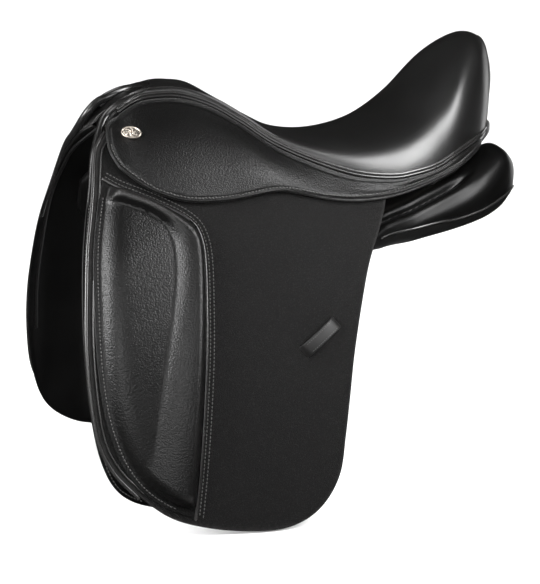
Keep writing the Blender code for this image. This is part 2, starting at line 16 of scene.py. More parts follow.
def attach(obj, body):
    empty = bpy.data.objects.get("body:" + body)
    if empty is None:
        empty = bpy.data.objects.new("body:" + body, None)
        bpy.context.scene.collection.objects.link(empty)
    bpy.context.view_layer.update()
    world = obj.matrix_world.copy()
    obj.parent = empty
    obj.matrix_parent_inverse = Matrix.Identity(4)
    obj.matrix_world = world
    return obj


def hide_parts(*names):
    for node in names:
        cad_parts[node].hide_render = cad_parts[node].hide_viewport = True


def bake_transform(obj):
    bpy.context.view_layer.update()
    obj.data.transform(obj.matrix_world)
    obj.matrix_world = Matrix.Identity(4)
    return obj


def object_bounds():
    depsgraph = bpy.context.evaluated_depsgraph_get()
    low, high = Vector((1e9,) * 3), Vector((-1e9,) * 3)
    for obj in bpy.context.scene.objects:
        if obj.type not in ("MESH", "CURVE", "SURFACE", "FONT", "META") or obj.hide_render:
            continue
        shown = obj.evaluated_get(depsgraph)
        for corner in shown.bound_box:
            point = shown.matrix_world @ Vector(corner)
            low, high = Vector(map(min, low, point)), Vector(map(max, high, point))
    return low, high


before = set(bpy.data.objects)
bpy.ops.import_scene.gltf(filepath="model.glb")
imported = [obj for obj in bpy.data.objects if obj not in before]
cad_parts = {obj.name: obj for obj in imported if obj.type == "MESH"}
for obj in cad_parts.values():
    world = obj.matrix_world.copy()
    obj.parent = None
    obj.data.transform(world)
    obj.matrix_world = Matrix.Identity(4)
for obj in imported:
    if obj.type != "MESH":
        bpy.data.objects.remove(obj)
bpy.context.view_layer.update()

MM = 0.001
NEAR = -1
OFF = 1
SIDES = ((NEAR, "near"), (OFF, "off"))
SHARP_EDGE = 55  # degrees

CAMERA_TARGET = (-0.035, 0, -0.064)
CAMERA_ANGLES = (-18, 10)  # round from -Y towards +X, and up
CAMERA_DISTANCE = 1.854
CAMERA_LENS = 101.5

# ---- dimensions shared with the CAD

SIDE_REACH = 222.0
SIDE_TOP = 182.0
SIDE_DEPTH = 178.0
SIDE_YAW = 0.05
SIDE_FRONT = -250.0

FLAP_THICK = 4.5
SKIRT_THICK = 3.2
SWEAT_THICK = 4.0
STRAP_THICK = 4.0
STRAP_WIDTH = 25.0
COVER_THICK = 3.0
FOAM_THICK = 22.0

# seam x, half width at the seam, seam z, crown x, crown z
SEAT = [
    (-217, 48, 150, -174, 173),
    (-204, 46, 158, -165, 176),
    (-186, 44, 164, -152, 176),
    (-152, 46, 165, -133, 173),
    (-118, 53, 155, -105, 157),
    (-88, 66, 137, -76, 140),
    (-57, 82, 115, -47, 127),
    (-16, 100, 96, -12, 120),
    (24, 113, 83, 24, 120),
    (63, 118, 79, 62, 128),
    (89, 118, 82, 95, 143),
    (118, 114, 89, 130, 171),
    (148, 103, 103, 163, 208),
    (182, 80, 116, 192, 225),
    (200, 56, 121, 211, 220.5),
]
SEAT_END = len(SEAT) - 1
SEAT_POWER = 0.86
REAR_START = 10.0
FOAM_ROWS = (1.7, 13.46)

# lower edge of the skirt: x, y, z
SKIRT_LOW = [
    (-214, 107, 79),
    (-195, 116, 67),
    (-167, 123, 58),
    (-138, 125, 56),
    (-108, 125, 58),
    (-62, 124, 64),
    (-11, 132, 55),
    (21, 135, 53),
    (58, 133, 56),
    (93, 126, 64),
    (133, 116, 77),
    (158, 104, 88),
    (178, 88, 99),
    (188, 74, 107),
]
SKIRT_FRONT = [(-217, 142), (-232, 135), (-236, 118), (-235, 105), (-229, 92)]
# x, how far the skirt swells outward half way down
SKIRT_BULGE = [
    (-236, 4), (-195, 13), (-130, 17), (-85, 17), (-40, 6), (0, 1), (40, -2), (90, -3), (140, -2), (190, 0),
]
SKIRT_DROP = 6.6
SKIRT_STITCH_INSET = 4.3

# outlines from here on: x, z
FLAP_FRONT = [
    (-234, 124), (-241, 116), (-248, 103), (-258, 58), (-268, 15), (-274, -29), (-278, -74), (-278, -120),
    (-273, -168), (-259, -200), (-236, -226),
]
FLAP_REST = [
    (-205, -250), (-168, -263), (-125, -270), (-88, -270), (-60, -260), (-40, -242),
    (-26, -216), (-19, -180), (-12, -140), (-4, -98), (8, -52), (22, -10), (38, 22), (48, 43), (54, 59),
]
FLAP_TOP = [(51, 60), (40, 61), (-20, 64), (-80, 77), (-150, 87), (-200, 92), (-218, 108), (-227, 124)]

SWEAT_FRONT = [
    (-229, 140), (-240, 128), (-250, 107), (-258, 81), (-268, 45), (-276, 2), (-281, -50),
    (-282, -98), (-280, -140), (-272, -188), (-257, -220), (-230, -238),
]
SWEAT_REST = [
    (-190, -246), (-140, -248), (-90, -244), (-62, -232), (-44, -205), (-32, -165),
    (-22, -115), (-8, -60), (8, -5), (20, 40), (22, 60),
]
SWEAT_TOP = [(-60, 72), (-200, 84), (-216, 98), (-213, 118), (-214, 136)]
SWEAT_NEAR_D = -8.0
SWEAT_FAR_D = -20.5

BLOCK_REAR = [
    (-246, 78), (-230, 69), (-208, 60), (-186, 50), (-168, 40), (-158, 30), (-154, 15),
    (-154, -5), (-157, -40), (-161, -85), (-166, -130), (-172, -180), (-178, -225), (-182, -252),
]
BLOCK_FRONT = [
    (-207, -242), (-231, -224), (-249, -200), (-261, -170), (-268, -137), (-271, -93),
    (-270, -50), (-267, -6), (-262, 26), (-254, 58),
]
BLOCK_SEAM = [BLOCK_REAR[0]] + BLOCK_FRONT[::-1] + [BLOCK_REAR[-1]]
BLOCK_VALLEY = [
    (-256, 52), (-240, 56), (-222, 51), (-204, 44), (-190, 33), (-184, 15), (-184, -7), (-188, -32),
    (-197, -72), (-209, -126), (-218, -170), (-226, -212), (-229, -238),
]
BLOCK_ROLL = 17.0
BLOCK_FLOOR = 11.0
BLOCK_VALLEY_FLOOR = 7.0
BLOCK_FLANGE = 8.0

# x, centre y, centre z, half width, half thickness, slope in degrees
PANEL_REAR = [
    (40, 80, 24, 47, 17, 28),
    (90, 83, 35, 46, 20, 22),
    (140, 80, 45, 43, 24, 18),
    (176, 77, 57, 40, 30, 14),
    (202, 71, 67, 33, 32, 12),
    (217, 68, 68, 22, 22, 10),
    (227, 61, 64, 12, 14, 8),
    (233, 55, 62, 6, 7, 8),
]
# x, centre z, half width, half thickness; the rest follows the sweat flap
PANEL_FRONT = [
    (-234, 62, 20, 5),
    (-218, 60, 42, 10),
    (-175, 48, 58, 14),
    (-110, 34, 62, 16),
    (-35, 22, 60, 18),
]
PANEL_SINK = 27.5
PANEL_POWER = 0.68

STRAPS = [("front", -120.0), ("rear", -62.0)]
STRAP_TOP = 46.0
STRAP_LOW = -235.0
STRAP_D = -13.0
STRAP_HOLES = 9
GIRTH_WEB = [(-134, 90), (-137, STRAP_TOP + 1.6), (-45, STRAP_TOP + 1.6), (-50, 90)]
POCKET = [(-204, 84), (-204, 62), (-198, 56), (-160, 54), (-152, 60), (-152, 84)]

NAIL = (-210, 124)
NAIL_LONG = 11.0
NAIL_HIGH = 7.6
NAIL_DISH = 0.83
KEEPER = (-40, -80)


# ---- numbers and curves

def mix(a, b, t):
    return a + (b - a) * t


def ease(t):
    t = np.clip(t, 0.0, 1.0)
    return t * t * (3 - 2 * t)


def spline(rows, u):
    """Catmull-Rom through the rows; u counts rows."""
    last = len(rows) - 1
    i = max(0, min(int(u), last - 1))
    t = u - i
    near = zip(rows[max(i - 1, 0)], rows[i], rows[i + 1], rows[min(i + 2, last)])
    return [0.5 * (2 * b + (c - a) * t + (2 * a - 5 * b + 4 * c - d) * t * t
                   + (3 * b - a - 3 * c + d) * t ** 3) for a, b, c, d in near]


def lengths(line):
    """The length run up to each point of a polyline."""
    return np.concatenate([[0.0], np.cumsum(np.linalg.norm(np.diff(line, axis=0), axis=1))])


def pick(line, run, want):
    """Points of a polyline where its length has run to each wanted value."""
    return np.stack([np.interp(want, run, line[:, k]) for k in range(line.shape[1])], 1)


def curve(points, count):
    """A smooth curve through the points, evenly spaced by length."""
    fine = np.array([spline(points, k * (len(points) - 1) / 600) for k in range(601)])
    run = lengths(fine)
    return pick(fine, run, np.linspace(0, run[-1], count))


def evenly(line, step):
    """The same polyline with points every step of its length."""
    line = np.array(line, float)
    run = lengths(line)
    count = max(2, int(round(run[-1] / step)) + 1)
    return pick(line, run, np.linspace(0, run[-1], count))


def squared(values, power):
    """Cosines or sines bent to square off a round outline."""
    return np.sign(values) * np.abs(values) ** power


def both_sides(half_line):
    """A line that ends on the middle plane, with its mirror image added."""
    half_line = np.array(half_line, float)
    return np.concatenate([half_line, (half_line * [1, -1, 1])[::-1][1:]])


def unit(vectors):
    return vectors / np.maximum(np.linalg.norm(vectors, axis=-1, keepdims=True), 1e-9)


def dense(rows):
    """A table smoothed into many rows, sorted by its first column."""
    fine = curve(rows, 400)
    return fine[np.argsort(fine[:, 0])]


def along(table, x, column=1):
    return np.interp(x, table[:, 0], table[:, column])


SEAT_SEAM = dense([row[:3] for row in SEAT])
SKIRT_EDGE = dense(SKIRT_LOW)
SKIRT_SWELL = dense(SKIRT_BULGE)


def side_half(x, z):
    drop = np.exp(-(SIDE_TOP - z) / SIDE_DEPTH)
    return SIDE_REACH * (1 - drop) + SIDE_YAW * (x - SIDE_FRONT)


def skirt_half(x, z):
    zt = along(SEAT_SEAM, x, 2) - SKIRT_DROP
    yt = along(SEAT_SEAM, x, 1) + 0.8
    zl = along(SKIRT_EDGE, x, 2)
    yl = along(SKIRT_EDGE, x, 1)
    t = (zt - z) / (zt - zl)
    bulge = along(SKIRT_SWELL, x) * np.sin(math.pi * np.clip(t, 0.0, 1.0))
    shoulder = 2.6 * ease((x - 10) / 50) * ease((175 - x) / 50)
    shoulder = shoulder * np.sin(math.pi * np.clip(t / 0.6, 0.0, 1.0))
    return yt + (yl - yt) * t + bulge + shoulder


def lift(half, x, z, d):
    """Points at distance d off the surface y = half(x, z), on the +Y side."""
    x, z, d = np.broadcast_arrays(np.asarray(x, float), np.asarray(z, float), np.asarray(d, float))
    e = 1.5
    fx = (half(x + e, z) - half(x - e, z)) / (2 * e)
    fz = (half(x, z + e) - half(x, z - e)) / (2 * e)
    n = unit(np.stack([-fx, np.ones_like(fx), -fz], -1))
    return np.stack([x, half(x, z), z], -1) + n * d[..., None]


def on_side(x, z, d):
    return lift(side_half, x, z, d)


def on_skirt(x, z, d):
    return lift(skirt_half, x, z, d)


def sweat_d(x):
    return mix(SWEAT_NEAR_D, SWEAT_FAR_D, ease((x + 268) / 55.0))


def on_sweat_flap(x, z, d):
    return on_side(x, z, sweat_d(x) + d)


def spot(surface, x, z, d, direction):
    """A point on a surface, its normal, and two directions across it, the first nearest to direction."""
    centre = surface(x, z, d)
    out = surface(x, z, d + 1.0) - centre
    across = np.array(direction, float)
    across = unit(across - out * across.dot(out))
    return centre, out, across, np.cross(out, across)


# ---- flat outlines

def inside(poly, x, z):
    hit = np.zeros(np.shape(x), bool)
    for (ax, az), (bx, bz) in zip(poly, np.roll(poly, -1, 0)):
        if az == bz:
            continue
        cross = ((az > z) != (bz > z)) & (x < ax + (z - az) * (bx - ax) / (bz - az))
        hit ^= cross
    return hit


def line_distance(line, x, z, closed=False):
    """Distance from each point (x, z) to a polyline."""
    best = np.full(np.shape(x), 1e9)
    line = np.asarray(line, float)
    ends = np.roll(line, -1, 0) if closed else line[1:]
    for (ax, az), (bx, bz) in zip(line, ends):
        dx, dz = bx - ax, bz - az
        t = np.clip(((x - ax) * dx + (z - az) * dz) / max(dx * dx + dz * dz, 1e-9), 0, 1)
        best = np.minimum(best, np.hypot(x - ax - dx * t, z - az - dz * t))
    return best


def turned(outline):
    """The outline anticlockwise in (x, z)."""
    p = np.asarray(outline, float)
    q = np.roll(p, -1, 0)
    area = np.sum(p[:, 0] * q[:, 1] - q[:, 0] * p[:, 1])
    return p if area > 0 else p[::-1]


def inwards(outline):
    """Unit normals that point into an anticlockwise outline, longer at corners."""
    step = unit(np.roll(outline, -1, 0) - outline)
    n = np.stack([-step[:, 1], step[:, 0]], 1)
    both = unit(n + np.roll(n, 1, 0))
    corner = np.maximum(np.sum(both * n, axis=1, keepdims=True), 0.7)
    return both / corner


def split(outline, most):
    """The same outline with every edge split to no longer than most."""
    out = []
    for p, q in zip(outline, np.roll(outline, -1, 0)):
        steps = max(1, math.ceil(math.dist(p, q) / most))
        out += [(mix(p[0], q[0], k / steps), mix(p[1], q[1], k / steps)) for k in range(steps)]
    return np.array(out)


def offset_line(line, out):
    """A polyline moved sideways by out, to the left of its direction."""
    line = np.asarray(line, float)
    step = unit(np.gradient(line, axis=0))
    return line + np.stack([-step[:, 1], step[:, 0]], 1) * out


# ---- mesh parts: (points, faces)

def strips(rows, cols, closed=False):
    faces = []
    for i in range(rows - 1):
        for j in range(cols if closed else cols - 1):
            k = (j + 1) % cols
            faces.append((i * cols + j, (i + 1) * cols + j, (i + 1) * cols + k, i * cols + k))
    return faces


def caps(rows, cols):
    """The faces that close the first and the last ring of a tube."""
    return [tuple(range(cols)), tuple((rows - 1) * cols + k for k in reversed(range(cols)))]


def shell(upper, lower):
    """Close the space between two grids of the same size."""
    rows, cols = upper.shape[:2]
    base = rows * cols
    points = np.concatenate([upper.reshape(-1, 3), lower.reshape(-1, 3)])
    faces = strips(rows, cols)
    faces += [tuple(base + k for k in reversed(f)) for f in faces]
    edge = list(range(cols))
    edge += [i * cols + cols - 1 for i in range(1, rows)]
    edge += [(rows - 1) * cols + j for j in range(cols - 2, -1, -1)]
    edge += [i * cols for i in range(rows - 2, 0, -1)]
    for a, b in zip(edge, edge[1:] + edge[:1]):
        faces.append((b, a, base + a, base + b))
    return points, faces


def fitting(ring, n, last):
    """How far the inset rows of a ring have to shrink, 0 to 1, where its outline is narrow."""
    tests = np.linspace(0.3, last * 1.3, 40)
    room = np.full(len(ring), tests[0])
    free = np.ones(len(ring), bool)
    for t in tests:
        at = ring + n * t
        free &= line_distance(ring, at[:, 0], at[:, 1], closed=True) > 0.9 * t
        room = np.where(free, t, room)
    share = np.minimum(1.0, 0.8 * room / last)
    low = np.min([np.roll(share, k) for k in range(-4, 5)], axis=0)
    return np.mean([np.roll(low, k) for k in range(-4, 5)], axis=0)


def sheet(outline, surface, outer, inner, spacing, edge=1.0, relief=(), fit=False):
    """A closed sheet with a rounded rim.

    surface(x, z, d) places a point; outer and inner give the two faces' distances, each as a number
    or as a function of (x, z).
    relief lists (inset from the rim, height) rows that shape the outer face beside the rim, and
    fit shrinks those rows where the sheet is narrow.
    """
    ring = turned(split(turned(outline), spacing))
    n = inwards(ring)
    last = max([edge] + [r[0] for r in relief]) + spacing * 0.4
    size = fitting(ring, n, last) if fit else np.ones(len(ring))
    n = n * size[:, None]
    rows = [(last, -1.0, 0.0)]
    for k in range(6, -1, -1):
        a = math.pi * k / 6
        rows.append((edge * (1 - math.sin(a)), math.cos(a), 0.0))
    rows += [(inset, 1.0, height) for inset, height in relief]
    rows.append((last, 1.0, 0.0))

    def place(xz, share, height):
        x, z = xz[:, 0], xz[:, 1]
        hi, lo = [level(x, z) if callable(level) else level for level in (outer, inner)]
        return surface(x, z, (hi + lo) / 2 + (hi - lo) / 2 * share + height)

    count = len(ring)
    core = ring + n * last
    x0, z0 = core.min(0)
    x1, z1 = core.max(0)
    grid = []
    for row, z in enumerate(np.arange(z0 + spacing * 0.5, z1, spacing * 0.87)):
        shift = spacing * 0.5 * (row % 2)
        grid += [(x, z) for x in np.arange(x0 + shift, x1, spacing)]
    grid = np.array(grid)
    grid = grid[inside(core, *grid.T)]
    grid = grid[line_distance(core, *grid.T, closed=True) > spacing * 0.5]
    flat = [Vector(p) for p in np.concatenate([core, grid])]
    edges = [(i, (i + 1) % count) for i in range(count)]
    verts, _, tris, origin, _, _ = delaunay_2d_cdt(flat, edges, [], 1, 1e-7)
    flat_out = np.array([tuple(v) for v in verts])

    points = [place(ring + n * inset, share, height * size) for inset, share, height in rows]
    base = len(rows) * count
    points += [place(flat_out, 1.0, 0.0), place(flat_out, -1.0, 0.0)]
    faces = strips(len(rows), count, closed=True)
    # points of the flat mesh that lie on the last inset row
    index = {k: min(found) for k, found in enumerate(origin) if found and min(found) < count}
    total = len(flat_out)
    for tri in tris:
        top = [(len(rows) - 1) * count + index[k] if k in index else base + k for k in tri]
        low = [index[k] if k in index else base + total + k for k in reversed(tri)]
        faces.append(tuple(top))
        faces.append(tuple(low))
    return tidy(np.concatenate(points), faces)


def tidy(points, faces):
    """Leave out the points that no face uses."""
    used = np.zeros(len(points), bool)
    for f in faces:
        used[list(f)] = True
    new = np.cumsum(used) - 1
    return points[used], [tuple(int(new[k]) for k in f) for f in faces]


def sweep(path, section, up, scale=None):
    """A flat section (a, b) along a path; b points along up as far as it can."""
    path = np.asarray(path, float)
    t = unit(np.gradient(path, axis=0))
    a = unit(np.cross(np.broadcast_to(np.asarray(up, float), path.shape), t))
    b = np.cross(t, a)
    section = np.asarray(section, float)
    size = np.ones(len(path)) if scale is None else np.asarray(scale, float)
    grid = (path[:, None] + a[:, None] * section[None, :, 0:1] * size[:, None, None]
            + b[:, None] * section[None, :, 1:2] * size[:, None, None])
    n = len(section)
    return grid.reshape(-1, 3), strips(len(path), n, closed=True) + caps(len(path), n)


def circle(r, sides=12):
    a = 2 * math.pi * (np.arange(sides) + 0.5) / sides
    return np.stack([r * np.cos(a), r * np.sin(a)], 1)


def rounded(wide, thick, r, steps=3):
    """A rectangle with rounded corners."""
    out = []
    for sx, sz, start in ((1, 1, 0), (-1, 1, 90), (-1, -1, 180), (1, -1, 270)):
        for k in range(steps + 1):
            a = math.radians(start + 90 * k / steps)
            out.append((sx * (wide / 2 - r) + r * math.cos(a), sz * (thick / 2 - r) + r * math.sin(a)))
    return np.array(out)


def tube(path, r, up=(0, 0, 1), sides=12):
    """A round cord sewn along a path, with round ends."""
    path = np.asarray(path, float)
    head = unit(path[0] - path[1])
    tail = unit(path[-1] - path[-2])
    turn = np.radians([15, 40, 65])
    front = [path[0] + head * r * math.cos(a) for a in turn]
    back = [path[-1] + tail * r * math.cos(a) for a in turn[::-1]]
    scale = np.concatenate([np.sin(turn), np.ones(len(path)), np.sin(turn[::-1])])
    return sweep(np.concatenate([front, path, back]), circle(r, sides), up, scale)


def stitches(path, normals, pitch=3.8, long=2.7, r=0.55):
    """Short thread stitches laid end to end on a path, sunk a little into the leather."""
    path = np.asarray(path, float)
    run = lengths(path)
    centres = np.arange(pitch * 0.5, run[-1] - pitch * 0.4, pitch)
    mid = pick(path, run, centres)
    ahead = unit(pick(path, run, centres + 0.6) - pick(path, run, centres - 0.6))
    up = unit(pick(np.broadcast_to(np.asarray(normals, float), path.shape), run, centres))
    across = np.cross(up, ahead)
    # (share of the length, share of the radius, share of the radius above the leather) for each ring
    steps = [(-0.5, 0.25, -0.6), (-0.38, 0.85, 0.0), (-0.15, 1.0, 0.35), (0.15, 1.0, 0.35),
             (0.38, 0.85, 0.0), (0.5, 0.25, -0.6)]
    sides = 6
    rings = []
    for along_part, wide, high in steps:
        centre = mid + ahead * long * along_part + up * r * high
        for k in range(sides):
            a = 2 * math.pi * k / sides
            rings.append(centre + across * r * wide * math.cos(a) + up * r * wide * math.sin(a))
    one = strips(len(steps), sides, closed=True) + caps(len(steps), sides)
    faces = [tuple(i * len(rings) + k for k in f) for i in range(len(mid)) for f in one]
    return np.stack(rings, 1).reshape(-1, 3), faces


def on_line(line, step, surface, d):
    """Points every step along a line (x, z) of a surface, and their normals."""
    line = evenly(line, step)
    path = surface(line[:, 0], line[:, 1], d)
    return path, surface(line[:, 0], line[:, 1], d + 1.0) - path


def stitch_row(line, surface, d, **how):
    """Stitches along a line (x, z) of a surface."""
    return stitches(*on_line(line, 1.0, surface, d), **how)


def laid_on(body, line, surface):
    """A line (x, z) of a surface dropped onto the nearest skin of a body, with smoothed normals."""
    tree = BVHTree.FromPolygons([Vector(p) for p in body[0]], body[1])
    line = evenly(line, 1.0)
    path, normals = [], []
    for p in surface(line[:, 0], line[:, 1], 0.6):
        place, normal, _, _ = tree.find_nearest(Vector(p))
        path.append(tuple(place))
        normals.append(tuple(normal))
    reach = 9
    padded = np.pad(np.array(normals), ((reach, reach), (0, 0)), "edge")
    smooth = np.mean([padded[k:k + len(path)] for k in range(2 * reach + 1)], axis=0)
    return np.array(path) + smooth * 0.35, smooth


def bead(line, surface, d, r):
    """A thin round welt along a line (x, z) of a surface."""
    path, normals = on_line(line, 2.5, surface, d)
    # the tube adds three rings at each end
    return tube(path, r, np.concatenate([normals[:1]] * 3 + [normals] + [normals[-1:]] * 3), 10)


def signed_volume(points, faces):
    total = 0.0
    for size in (3, 4):
        group = np.array([f for f in faces if len(f) == size])
        if not len(group):
            continue
        a = points[group[:, 0]]
        for k in range(1, size - 1):
            total += np.sum(a * np.cross(points[group[:, k]], points[group[:, k + 1]]))
    return total


def add_object(name, data):
    obj = bpy.data.objects.new(name, data)
    bpy.context.scene.collection.objects.link(obj)
    return obj


def make(name, parts, body, side=OFF, replaces=()):
    """One object from (points, faces, material) parts, in metres, riding on a body."""
    all_points, all_faces, slots, materials = [], [], [], []
    base = 0
    for points, faces, material in parts:
        points = np.array(points, float) * np.array([1, side, 1])
        if signed_volume(points - points.mean(0), faces) < 0:
            faces = [tuple(reversed(f)) for f in faces]
        if material not in materials:
            materials.append(material)
        all_points.append(points)
        all_faces += [tuple(base + k for k in f) for f in faces]
        slots += [materials.index(material)] * len(faces)
        base += len(points)
    mesh = bpy.data.meshes.new(name)
    mesh.from_pydata((np.concatenate(all_points) * MM).tolist(), [], all_faces)
    for material in materials:
        mesh.materials.append(material)
    mesh.polygons.foreach_set("material_index", slots)
    mesh.polygons.foreach_set("use_smooth", [True] * len(all_faces))
    mesh.set_sharp_from_angle(angle=math.radians(SHARP_EDGE))
    mesh.validate()
    mesh.update()
    obj = add_object(name, mesh)
    if body:
        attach(obj, body)
    if replaces:
        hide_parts(*replaces)
    return obj


# ---- materials

class Look:
    """A new material and its node tree."""

    def __init__(self, name):
        self.material = bpy.data.materials.new(name)
        self.material.use_nodes = True
        self.tree = self.material.node_tree
        self.where = self.add("TexCoord").outputs["Object"]

    def add(self, kind, inputs=None, **settings):
        """A node with its settings; each input is given a value or an output to link from."""
        made = self.tree.nodes.new("ShaderNode" + kind)
        for key, value in settings.items():
            setattr(made, key, value)
        self.feed(made, inputs or {})
        return made

    def feed(self, made, inputs):
        for key, value in inputs.items():
            if isinstance(value, bpy.types.NodeSocket):
                self.tree.links.new(value, made.inputs[key])
            else:
                made.inputs[key].default_value = value

    def noise(self, scale, detail, where=None, output="Fac"):
        place = self.where if where is None else where
        return self.add("TexNoise", {"Vector": place, "Scale": scale, "Detail": detail}).outputs[output]

    def waves(self, scale, distortion, detail=2.0, axis="X"):
        return self.add("TexWave", {"Vector": self.where, "Scale": scale, "Distortion": distortion,
                                    "Detail": detail}, bands_direction=axis).outputs["Fac"]

    def scaled(self, source, low, high, to_low, to_high):
        return self.add("MapRange", {"Value": source, "From Min": low, "From Max": high,
                                     "To Min": to_low, "To Max": to_high}).outputs["Result"]

    def between(self, factor, low, high):
        return self.add("Mix", {"Factor": factor, "A": low, "B": high}, data_type="RGBA").outputs["Result"]

    def ridges(self, low, high):
        """0 in hollows, 1 on raised edges."""
        return self.scaled(self.add("NewGeometry").outputs["Pointiness"], low, high, 0.0, 1.0)

    def bump(self, height, distance, **under):
        return self.add("Bump", {"Height": height, "Distance": distance, **under}).outputs["Normal"]

    def finish(self, inputs):
        """Feed the surface shader; returns the material."""
        self.feed(self.tree.nodes["Principled BSDF"], inputs)
        return self.material


def shade(share, *colour):
    return tuple(c * share for c in colour) + (1,)


def leather(name, colour=0.011, rough=0.4, cell=1.1, relief=0.05, ripple=0.12, worn=0.035, specular=0.5,
            fleck=0.0):
    """Dyed leather: pebble grain of a cell size, soft ripples, and rubbed lighter edges (mm)."""
    look = Look(name)
    size = cell * MM

    # pebble grain: cells with soft valleys between them, warped so that no two are alike
    warp = look.noise(0.35 / size, 2.0, output="Color")
    pushed = look.add("VectorMath", {0: warp, 1: (size * 1.2,) * 3, 2: look.where}, operation="MULTIPLY_ADD")
    cells = look.add("TexVoronoi", {"Vector": pushed.outputs["Vector"], "Scale": 1.0 / size,
                                    "Smoothness": 0.35}, feature="SMOOTH_F1").outputs["Distance"]
    height = look.add("Math", {0: cells, 1: -2.0, 2: look.noise(2.6 / size, 3.0)}, operation="MULTIPLY_ADD")
    grain = look.bump(height.outputs["Value"], relief * MM)

    # slow ripples from the hide and the pull of the last
    surface = look.bump(look.noise(38.0, 2.0), ripple * MM, Normal=grain)

    # colour: dye that varies a little, flecks of fibre, and wear on raised edges
    tone = look.noise(14.0, 4.0)
    dye = look.between(tone, shade(colour, 0.8, 0.78, 0.77), shade(colour, 1.35, 1.3, 1.27))
    dots = look.scaled(look.noise(900.0, 1.0), 0.5, 0.8, 0.0, fleck)
    fibre = look.between(dots, dye, shade(colour, 4, 3.9, 3.9))
    wear = look.between(look.ridges(0.52, 0.6), fibre, shade(worn, 1, 0.97, 0.95))
    return look.finish({"Base Color": wear, "Normal": surface, "Specular IOR Level": specular,
                        "Roughness": look.scaled(tone, 0.3, 0.7, rough * 0.9, rough * 1.12)})


def thread(name, colour):
    """Waxed linen thread: twisted strands."""
    look = Look(name)
    strands = look.waves(900.0, 1.5)
    tint = look.between(strands, shade(colour, 0.7, 0.7, 0.68), shade(colour, 1.4, 1.38, 1.34))
    return look.finish({"Base Color": tint, "Normal": look.bump(strands, 0.00006), "Roughness": 0.32})


def metal(name, colour, rough, brush=0.0, tarnish=0.3):
    """Metal with fine scratches along X and darker hollows."""
    look = Look(name)
    stretch = look.add("Mapping", {"Vector": look.where, "Scale": (1.0, 1.0, 1.0 + brush)})
    lines = look.noise(700.0, 3.0, stretch.outputs["Vector"])
    patina = look.between(look.ridges(0.42, 0.5), shade(tarnish, *colour), shade(1, *colour))
    return look.finish({"Base Color": patina, "Normal": look.bump(lines, 0.00002), "Metallic": 1.0,
                        "Roughness": look.scaled(lines, 0.3, 0.7, rough * 0.8, rough * 1.3)})


def woven(name, colour, pitch=1.4):
    """Plain woven webbing or cloth."""
    look = Look(name)
    scale = 0.314 / (pitch * MM)
    yarns = {0: look.waves(scale, 0.6, axis="X"), 1: look.waves(scale, 0.6, axis="Y")}
    top = look.add("Math", yarns, operation="MAXIMUM").outputs["Value"]
    tint = look.between(top, shade(0.6, *colour), shade(1, *colour))
    return look.finish({"Base Color": tint, "Normal": look.bump(top, 0.0003), "Roughness": 0.85})


def wood(name):
    """Laminated beech with a black-brown lacquer."""
    look = Look(name)
    rings = look.waves(120.0, 3.0, 3.0, "Z")
    tint = look.between(rings, (0.030, 0.020, 0.014, 1), (0.070, 0.045, 0.030, 1))
    return look.finish({"Base Color": tint, "Normal": look.bump(rings, 0.00008), "Roughness": 0.45})


def paper(name):
    """White backdrop paper, fully matt."""
    look = Look(name)
    tint = look.between(look.noise(3.0, 2.0), (0.90, 0.90, 0.90, 1), (0.94, 0.94, 0.94, 1))
    return look.finish({"Base Color": tint, "Roughness": 1.0, "Specular IOR Level": 0.0})


SEAT_LEATHER = leather("seat_leather", colour=0.0035, rough=0.37, cell=0.7, relief=0.03, ripple=0.10,
                       specular=1.0)
SKIRT_LEATHER = leather("skirt_leather", colour=0.003, rough=0.35, cell=1.5, relief=0.2, specular=0.40)
FLAP_LEATHER = leather("flap_leather", colour=0.004, rough=0.66, cell=0.9, relief=0.24, fleck=1.0,
                       specular=0.12)
BLOCK_LEATHER = leather("block_leather", colour=0.0035, rough=0.33, cell=1.7, relief=0.15, specular=0.42)
PANEL_LEATHER = leather("panel_leather", colour=0.0015, rough=0.37, cell=0.6, relief=0.012, ripple=0.2,
                        worn=0.01, specular=0.24)
GROUND_LEATHER = leather("ground_leather", colour=0.003, rough=0.5, cell=0.6, relief=0.012, ripple=0.2,
                         worn=0.01, specular=0.3)
WELT_LEATHER = leather("welt_leather", colour=0.0035, rough=0.26, cell=0.6, relief=0.01, specular=0.9)
EDGE_LEATHER = leather("strap_leather", colour=0.004, rough=0.5, cell=0.6, relief=0.03)
# dark grey, lighter than the real black waxed thread: a painted glint so that the stitches read as lighter
# dots
THREAD_PAINTED_GLINT = thread("black_thread_painted_glint", 0.065)
STEEL = metal("stainless_steel", (0.55, 0.55, 0.56), 0.28, brush=12.0)
PEWTER = metal("pewter", (0.60, 0.54, 0.47), 0.40, tarnish=0.15)
BEECH = wood("beech")
LINEN = woven("linen_webbing", (0.75, 0.72, 0.65))
FOAM_CLOTH = woven("foam_cloth", (0.060, 0.058, 0.055), 0.9)


# ---- seat

def seat_grid(us, angles, in_side, in_top):
    """Points over the seat, one row for each u; in_side and in_top set them in below the skin."""
    out = []
    for u in us:
        xs, w, zs, xc, zc = spline(SEAT, u)
        top = min(in_top, 0.62 * (zc - zs)) if in_top > 5 else in_top
        c = np.cos(angles)
        s = np.clip(np.sin(angles), 0, 1)
        r = s ** SEAT_POWER
        y = squared(c, SEAT_POWER) * (w - in_side)
        back = float(ease((u - REAR_START) / 4.0))
        x = xs + (xc - top * back - xs) * r
        z = zs + (zc - top * (1 - 0.3 * back) - zs) * r
        out.append(np.stack([x, y, z], 1))
    return np.array(out)


def seam(count, out=0.0, down=0.0, start=0.0, end=SEAT_END):
    """A line along the seat's lower edge, moved out and down."""
    rows = [spline(SEAT, mix(start, end, k / (count - 1))) for k in range(count)]
    return np.array([(x, w + out, z - down) for x, w, z, _, _ in rows])


